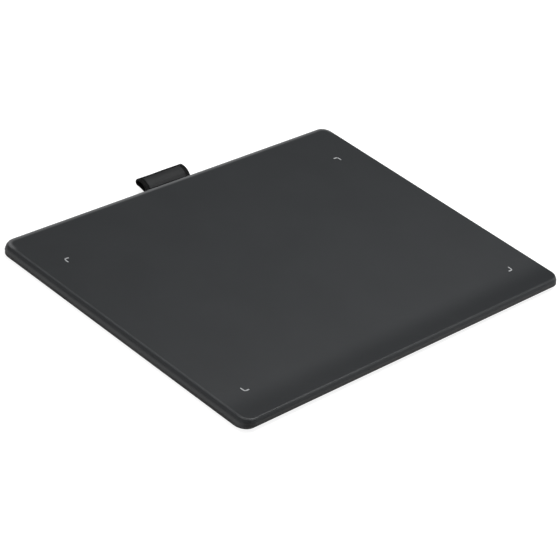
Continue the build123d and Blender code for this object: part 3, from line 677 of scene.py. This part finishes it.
# %% Flat cable and pouch
strip_pitch = 0.5
strip_edge = (-0.1, 0.3)
film_tone = (0.8, 0.82, 0.86, 1.0)
strip_tone = (0.62, 0.52, 0.4, 1.0)
crease_scale = 160.0
crease_depth = 0.12


def build_flat_cable():
    """White film over parallel copper strips, which run along Y."""
    material, tree, shader = new_material("flat_cable", Roughness=0.3, Coat_Weight=0.3)
    coordinates = add(tree, "ShaderNodeTexCoord").outputs["Object"]
    across = add(tree, "ShaderNodeSeparateXYZ", {0: coordinates}).outputs["X"]
    wave = sums(tree, "SINE", sums(tree, "MULTIPLY", across, 2 * math.pi / mm(strip_pitch)))
    strips = ramp(tree, wave, *strip_edge)
    tree.links.new(blend(tree, strips, film_tone, strip_tone), shader.inputs["Base Color"])
    bump(tree, shader, strips, mm(0.02), 0.7)
    return material


def build_cell_foil():
    """Soft silvery foil with shallow creases."""
    material, tree, shader = new_material("cell_foil", Metallic=0.85)
    coordinates = add(tree, "ShaderNodeTexCoord").outputs["Object"]
    crease = {"Vector": coordinates, "Scale": crease_scale, "Detail": 3.0, "Distortion": 1.4}
    crease = add(tree, "ShaderNodeTexNoise", crease).outputs["Fac"]
    tree.links.new(blend(tree, crease, grey(0.5, 0.02), grey(0.66, 0.02)), shader.inputs["Base Color"])
    tree.links.new(spread(tree, crease, 0.34, 0.52), shader.inputs["Roughness"])
    bump(tree, shader, crease, mm(crease_depth), 0.5)
    return material


flat_cable = build_flat_cable()
cell_foil = build_cell_foil()
print("boards, cable and pouch ready")

# %% [markdown]
# ## Finishes onto the CAD nodes
# A CAD node keeps its mesh and its place. Only what is in its material slots changes, so the list below
# is all that dresses the inside of the case.

# %% Hand out the finishes
finish_of = {
    "top_cover": case_plastic,
    "bottom_cover": tray_plastic,
    "case_screws": screw_steel,
    "board_screws": screw_steel,
    "loop_bar": screw_steel,
    "sensor_bond_film": clear_film,
    "battery_tape": clear_film,
    "sensor_board": circuit_board,
    "main_board": circuit_board,
    "wireless_module": circuit_board,
    "shield_sheet": shield_steel,
    "module_shield_can": shield_steel,
    "usb_shell": socket_steel,
    "usb_contacts": contact_metal,
    "sensor_cable": flat_cable,
    "battery_cell": cell_foil,
    "battery_leads": lead_rubber,
    "status_led": lamp_white,
    "light_pipe": clear_plastic,
    "power_button": button_plastic,
}
for name in ("foot_front_left", "foot_back_left", "foot_front_right", "foot_back_right"):
    finish_of[name] = foot_rubber
for name in ("sensor_socket", "board_cable_socket", "switch_plunger", "battery_plug", "battery_socket"):
    finish_of[name] = socket_plastic
for name in ("processor_chip", "board_parts", "usb_tongue", "power_switch"):
    finish_of[name] = chip_plastic
for name, finish in finish_of.items():
    for material_slot in nodes[name].material_slots:
        material_slot.material = finish
print("dressed nodes:", len(finish_of))

# %% [markdown]
# ## The four printed marks
# Four small angles show the corners of the area that the pen can reach. They were placed by the picture,
# where their middle lies a little left of the case's. On the real face they are pale ink, a few
# hundredths of a millimetre high, with round stroke ends and a round outer bend. A stroke is drawn as a
# maker of stencils would: a short edge as wide as the stroke is pulled along one arm, spun through the
# bend and pulled along the other arm. The last corners are then bevelled until they are round.

# %% Mark ink
def build_mark_ink():
    """Pale grey screen ink, slightly uneven, with the face's grain under it."""
    material, tree, shader = new_material("mark_ink", Specular_IOR_Level=0.4)
    grain = use(tree, moulded_grain, Grain_Size=0.16, Patch_Size=2.0)
    tone = blend(tree, grain["Mottle"], grey(0.3, 0.02), grey(0.38, 0.02))
    tree.links.new(tone, shader.inputs["Base Color"])
    tree.links.new(spread(tree, grain["Pits"], 0.5, 0.65), shader.inputs["Roughness"])
    bump(tree, shader, grain["Pits"], mm(0.008), 0.6)
    return material


mark_ink = build_mark_ink()
print("material:", mark_ink.name)


# %% Mark shape
mark_arm = 3.0
mark_stroke = 0.78
mark_bend = 1.1                 # to the middle of the stroke
mark_height = 0.03
stroke_end_share = 0.48         # of the stroke, rounded off at each side of its end


def drawn_verts(made):
    """The vertices among the things that an extrusion made."""
    return [item for item in made if isinstance(item, bmesh.types.BMVert)]


def drawn_edges(made):
    """The edges among the things that an operator made."""
    return [item for item in made if isinstance(item, bmesh.types.BMEdge)]


def draw_angle():
    """The left back mark, with its corner at the origin and its underside at a height of zero."""
    shape = bmesh.new()
    straight = mm(mark_arm - mark_bend)
    sides = [mm(side * mark_stroke / 2 - mark_bend) for side in (-1, 1)]
    first_ends = [shape.verts.new((side, -straight, 0)) for side in sides]
    front = [shape.edges.new(first_ends)]
    made = bmesh.ops.extrude_edge_only(shape, edges=front)["geom"]
    moved = drawn_verts(made)
    bmesh.ops.translate(shape, verts=moved, vec=(0, straight, 0))
    front = [edge for edge in drawn_edges(made) if set(edge.verts) == set(moved)]
    spun = bmesh.ops.spin(
        shape,
        geom=front,
        cent=(0, 0, 0),
        axis=(0, 0, -1),
        angle=math.pi / 2,
        steps=8,
        use_merge=False,
    )["geom_last"]
    made = bmesh.ops.extrude_edge_only(shape, edges=drawn_edges(spun))["geom"]
    last_ends = drawn_verts(made)
    bmesh.ops.translate(shape, verts=last_ends, vec=(straight, 0, 0))
    bmesh.ops.bevel(
        shape,
        geom=first_ends + last_ends,
        affect="VERTICES",
        offset=mm(mark_stroke * stroke_end_share),
        segments=6,
        profile=0.5,
        material=-1,
    )
    bmesh.ops.solidify(shape, geom=shape.faces[:], thickness=mm(mark_height))
    low_point = min(vert.co.z for vert in shape.verts)
    bmesh.ops.translate(shape, verts=shape.verts[:], vec=(mm(mark_bend), -mm(mark_bend), -low_point))
    return shape


# %% [markdown]
# ## Placing the marks
# One angle serves for all four corners. It is mirrored by the signs of its corner, so that its bend points
# outwards, and moved there. A mirror can turn a shape inside out, so its normals are recalculated. The ink
# is sunk by a third of its height into the face, so that no gap shows under it.

# %% Corner marks
mark_centre = (-1.2, -9.6)
mark_area = (202.7, 127.5)
top_z = 6.9


def corner_mark(name, across, along):
    """The mark of the corner that the signs of across and along give."""
    shape = draw_angle()
    flip = Matrix.Diagonal((-across, along, 1.0))
    bmesh.ops.transform(shape, matrix=flip.to_4x4(), verts=shape.verts[:])
    x = mm(mark_centre[0] + across * mark_area[0] / 2)
    y = mm(mark_centre[1] + along * mark_area[1] / 2)
    z = mm(top_z - mark_height / 3)
    bmesh.ops.translate(shape, verts=shape.verts[:], vec=(x, y, z))
    bmesh.ops.recalc_face_normals(shape, faces=shape.faces[:])
    mark = finish_mesh(name, shape, mark_ink)
    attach(mark, "case")
    return mark


for across, across_word in ((-1, "left"), (1, "right")):
    for along, along_word in ((-1, "front"), (1, "back")):
        mark = corner_mark(f"corner_mark_{along_word}_{across_word}", across, along)
print("mark faces:", len(mark.data.polygons))

# %% [markdown]
# ## Woven tape
# The pen loop is tape of black polyester, woven tight. Threads that cross each other make a chequer of
# small humps, half a millimetre apart. The pattern has to follow the tape round its folds, so it reads
# the piece's own UV map, which is laid out along the tape, and not Object coordinates.

# %% Weave
thread_pitch = 0.55
tape_unit = 60.0                # millimetres of tape in one unit of its UV map
thread_stretch = 0.04           # a thread keeps its tone for a long way along itself


def build_weave():
    """Group: the height of a plain weave, and a tone that differs from thread to thread."""
    tree, given, out = new_group("weave", {"Threads": 100.0}, ["Height", "Tone"])
    layout = add(tree, "ShaderNodeTexCoord").outputs["UV"]
    parts = add(tree, "ShaderNodeSeparateXYZ", {0: layout}).outputs
    turns = sums(tree, "MULTIPLY", given["Threads"], math.pi)
    across = sums(tree, "SINE", sums(tree, "MULTIPLY", parts["X"], turns))
    along = sums(tree, "SINE", sums(tree, "MULTIPLY", parts["Y"], turns))
    humps = sums(tree, "MULTIPLY", sums(tree, "MULTIPLY", across, along), 0.5)
    tree.links.new(sums(tree, "ADD", humps, 0.5), out["Height"])
    stretch = {0: layout, 1: (1.0, thread_stretch, 1.0)}
    stretch = add(tree, "ShaderNodeVectorMath", stretch, operation="MULTIPLY").outputs[0]
    inputs = {"Vector": stretch, "Scale": given["Threads"], "Detail": 1.0}
    tree.links.new(add(tree, "ShaderNodeTexNoise", inputs).outputs["Fac"], out["Tone"])
    return tree


weave = build_weave()
print("group:", weave.name)


# %% Webbing and patch cloth
lint_strength = 0.06
lint_tone = 0.08
webbing_relief = 0.12
patch_fineness = 1.8            # threads of the patch to one of the tape
patch_thread_share = 0.35
patch_relief = 0.04


def build_loop_webbing():
    """Black woven polyester with a slight sheen and a few pale fibres."""
    material, tree, shader = new_material("loop_webbing", Specular_IOR_Level=0.15)
    woven = use(tree, weave, Threads=tape_unit / thread_pitch)
    tone = blend(tree, woven["Tone"], grey(0.0015), grey(0.005))
    lint = use(tree, hairlines, Angle=0.9, Spacing=0.5, Share=0.06)["Mask"]
    tone = blend(tree, sums(tree, "MULTIPLY", lint, lint_strength), tone, grey(lint_tone))
    tree.links.new(tone, shader.inputs["Base Color"])
    tree.links.new(spread(tree, woven["Height"], 0.85, 0.62), shader.inputs["Roughness"])
    bump(tree, shader, woven["Height"], mm(webbing_relief), 0.9)
    return material


def build_patch_fabric():
    """Dark grey coated cloth: a fine tight weave under a matt film."""
    material, tree, shader = new_material("patch_fabric", Specular_IOR_Level=0.35)
    woven = use(tree, weave, Threads=tape_unit / thread_pitch * patch_fineness)
    grain = use(tree, moulded_grain, Grain_Size=0.25, Patch_Size=6.0)
    tone = blend(tree, grain["Mottle"], grey(0.009, 0.06), grey(0.012, 0.06))
    threads = sums(tree, "MULTIPLY", woven["Height"], patch_thread_share)
    tone = blend(tree, threads, tone, grey(0.0165, 0.06))
    tree.links.new(tone, shader.inputs["Base Color"])
    tree.links.new(spread(tree, woven["Height"], 0.7, 0.55), shader.inputs["Roughness"])
    bump(tree, shader, woven["Height"], mm(patch_relief), 0.7)
    return material


loop_webbing = build_loop_webbing()
patch_fabric = build_patch_fabric()
print("fabrics ready")

# %% [markdown]
# ## Drawing a strip along a route
# Tape is flat and bends only one way, so its middle line lies in one upright plane. A helper holds
# the strip's front edge, a row of vertices across the tape. It pulls that row forward for a straight
# run, and turns it about a centre for a bend. Each row notes how far along the tape it lies, and the
# UV map is made from those notes. The thickness comes last, from two modifiers that are made final.


# %% Strip helper
class Strip:
    """A flat strip that is drawn out along a route in the upright plane across X."""

    def __init__(self, width, x, y, z, heading=0.0, columns=12):
        self.shape = bmesh.new()
        self.run_layer = self.shape.verts.layers.float.new("run")
        self.width = mm(width)
        self.place = Vector((mm(x), mm(y), mm(z)))
        self.heading = math.radians(heading)
        self.run = 0.0
        halves = [Vector((side * self.width / 2, 0, 0)) for side in (-1, 1)]
        first = self.shape.edges.new([self.shape.verts.new(self.place + half) for half in halves])
        bmesh.ops.subdivide_edges(self.shape, edges=[first], cuts=columns - 1)
        self.front = self.shape.edges[:]

    def forward(self):
        """The direction in which the strip's front edge points."""
        return Vector((0, math.cos(self.heading), math.sin(self.heading)))

    def pull(self, length):
        """Extrude the front edge and note how far it has come. The caller then moves the new row."""
        made = bmesh.ops.extrude_edge_only(self.shape, edges=self.front)["geom"]
        row = drawn_verts(made)
        chosen = set(row)
        self.front = [edge for edge in drawn_edges(made) if set(edge.verts) <= chosen]
        self.run += length
        for vert in row:
            vert[self.run_layer] = self.run
        return row

    def straight(self, length, steps=1):
        """Go straight on."""
        step = self.forward() * mm(length) / steps
        for _ in range(steps):
            bmesh.ops.translate(self.shape, verts=self.pull(mm(length) / steps), vec=step)
            self.place += step

    def bend(self, angle, radius, steps=8):
        """Turn by an angle about X. A positive one turns +Y towards +Z."""
        side = math.copysign(1.0, angle)
        normal = Vector((0, -math.sin(self.heading), math.cos(self.heading)))
        centre = self.place + normal * side * mm(radius)
        step = math.radians(angle) / steps
        turn = Matrix.Rotation(step, 3, "X")
        for _ in range(steps):
            row = self.pull(abs(step) * mm(radius))
            bmesh.ops.rotate(self.shape, cent=centre, matrix=turn, verts=row)
            self.place = centre + turn @ (self.place - centre)
        self.heading += math.radians(angle)

    def shift(self, length, rise, steps=4):
        """Two equal bends that shift the strip sideways by rise and leave it parallel to its start."""
        angle = 2 * math.degrees(math.atan(rise / length))
        radius = abs(length / 2 / math.sin(math.radians(angle)))
        self.bend(angle, radius, steps)
        self.bend(-angle, radius, steps)

    def close(self, reach=0.02):
        """Join the front edge to the first row, for a tape that runs round and back into itself."""
        bmesh.ops.remove_doubles(self.shape, verts=self.shape.verts[:], dist=mm(reach))

    def lay_out(self, scale):
        """UV map: across the tape and along it, both divided by scale."""
        layout = self.shape.loops.layers.uv.new("tape")
        for face in self.shape.faces:
            runs = [vert[self.run_layer] for vert in face.verts]
            jump = self.run if max(runs) - min(runs) > self.run / 2 else 0.0
            for corner in face.loops:
                along = corner.vert[self.run_layer]
                along += jump if jump and along < self.run / 2 else 0.0
                across = corner.vert.co.x - self.place.x + self.width / 2
                corner[layout].uv = (across / scale, along / scale)


# %% Thickness
edge_segments = 3
sharp_edge = 60.0               # degrees, above which an edge is rounded


def thicken(piece, thickness, edge_round):
    """Give a strip its thickness about its middle, round its long edges, and make that final."""
    wall = piece.modifiers.new("thickness", "SOLIDIFY")
    wall.thickness = mm(thickness)
    wall.offset = 0.0
    wall.use_even_offset = True
    rounding = piece.modifiers.new("rounding", "BEVEL")
    rounding.width = mm(edge_round)
    rounding.segments = edge_segments
    rounding.limit_method = "ANGLE"
    rounding.angle_limit = math.radians(sharp_edge)
    rounding.use_clamp_overlap = True
    graph = bpy.context.evaluated_depsgraph_get()
    final = bpy.data.meshes.new_from_object(piece.evaluated_get(graph))
    final.name = piece.name
    piece.modifiers.clear()
    piece.data = final
    final.shade_smooth()


print("strip tools ready:", Strip.__name__, thicken.__name__)

# %% [markdown]
# ## The pen loop
# One tape runs round a bar inside the case, out through a slot in the back edge, round a far fold and
# back. CAD splits it where it leaves the case, so that the free part can bend. Here it is one closed
# ring again.

# %% The tape's route
loop_x = -1.6
loop_width = 32.4
web_thick = 1.0
port_z = 4.05                   # the middle of the slot
layer_lift = 0.55               # of each layer's middle from the slot's
loop_root_y = 83.2
inner_wall_y = 81.2
bar_y = 76.7
bar_bend = 1.2
fold_y = 90.6
fold_z = 5.95
fold_bend = 1.5
loop_rise = 48.0                # degrees, the steepest part of the upper layer
root_bend = 1.6
upper_z = fold_z + fold_bend
upper_bend = (upper_z - port_z - layer_lift) / (1 - math.cos(math.radians(loop_rise))) - root_bend
level_length = fold_y - loop_root_y - (upper_bend + root_bend) * math.sin(math.radians(loop_rise))

tape = Strip(loop_width, loop_x, loop_root_y, port_z - layer_lift)
tape.shift(fold_y - loop_root_y, fold_z - fold_bend - port_z + layer_lift, steps=5)
tape.bend(180, fold_bend, steps=14)
tape.straight(level_length)
tape.bend(loop_rise, upper_bend, steps=10)
tape.bend(-loop_rise, root_bend, steps=6)
tape.straight(loop_root_y - inner_wall_y)
tape.shift(inner_wall_y - bar_y, layer_lift - bar_bend)
tape.bend(180, bar_bend, steps=12)
tape.shift(inner_wall_y - bar_y, bar_bend - layer_lift)
tape.straight(loop_root_y - inner_wall_y)
tape.close()
tape.lay_out(mm(tape_unit))
print("tape, mm:", round(tape.run * mm_per_metre, 2))

# %% [markdown]
# ## Cloth is never quite flat
# Two slow waves across the tape's width, six hundredths of a millimetre high, keep its free part from
# looking like a strip of sheet metal. They grow from nothing at the slot to their full height at the fold.

# %% Pen loop
ripple_height = 0.06
first_wave = 5.2
second_wave = 2.9
second_share = 0.6
second_start = 1.3
tape_edge_round = 0.28


def ripple(shape):
    """Let the free part of the tape rise and fall a little across its width, as cloth does."""
    for vert in shape.verts:
        share = (vert.co.y - mm(loop_root_y)) / mm(fold_y - loop_root_y)
        second = math.sin(vert.co.x / mm(second_wave) + second_start)
        wave = math.sin(vert.co.x / mm(first_wave)) + second_share * second
        vert.co.z += mm(ripple_height) * wave * min(max(share, 0.0), 1.0)


ripple(tape.shape)
pen_loop = finish_mesh("pen_loop_tape", tape.shape, loop_webbing)
thicken(pen_loop, web_thick, tape_edge_round)
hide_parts("pen_loop", "loop_root")
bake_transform(pen_loop)
print("pen loop faces:", len(pen_loop.data.polygons))

# %% [markdown]
# ## The patch
# A strip of coated cloth is bonded on the upper layer. It starts just in front of the far fold, follows
# the tape down towards the case and stops in the last bend at the slot. It lies half a thickness further
# out than the tape, so its radius is larger by that much in one bend and smaller in the other. Its long
# edges are pressed thin, which the rounding imitates.

# %% Loop patch
patch_width = 26.8
patch_shift = -0.4              # bonded a little off the tape's middle
patch_thick = 0.35
patch_share = 0.6               # of the last bend, at the slot, that it covers
patch_start = 0.6               # from the top of the far fold
patch_edge_round = 0.1
patch_lift = (web_thick + patch_thick) / 2
cloth = Strip(patch_width, loop_x + patch_shift, fold_y - patch_start, upper_z + patch_lift, heading=180)
cloth.straight(level_length - patch_start)
cloth.bend(loop_rise, upper_bend + patch_lift, steps=12)
cloth.bend(-loop_rise * patch_share, root_bend - patch_lift, steps=4)
cloth.lay_out(mm(tape_unit))
ripple(cloth.shape)
patch = finish_mesh("loop_patch_cloth", cloth.shape, patch_fabric)
thicken(patch, patch_thick, patch_edge_round)
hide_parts("loop_patch")
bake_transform(patch)
print("patch, mm:", round(cloth.run * mm_per_metre, 2))

# %% [markdown]
# ## The look of the picture
# Blender can bend the tones of a picture as film does. Here a colour has to show as it was written, so
# the plain Standard view is set and nothing else is changed.

# %% Look of the picture
bpy.context.scene.view_settings.view_transform = "Standard"
print("view:", bpy.context.scene.view_settings.view_transform)
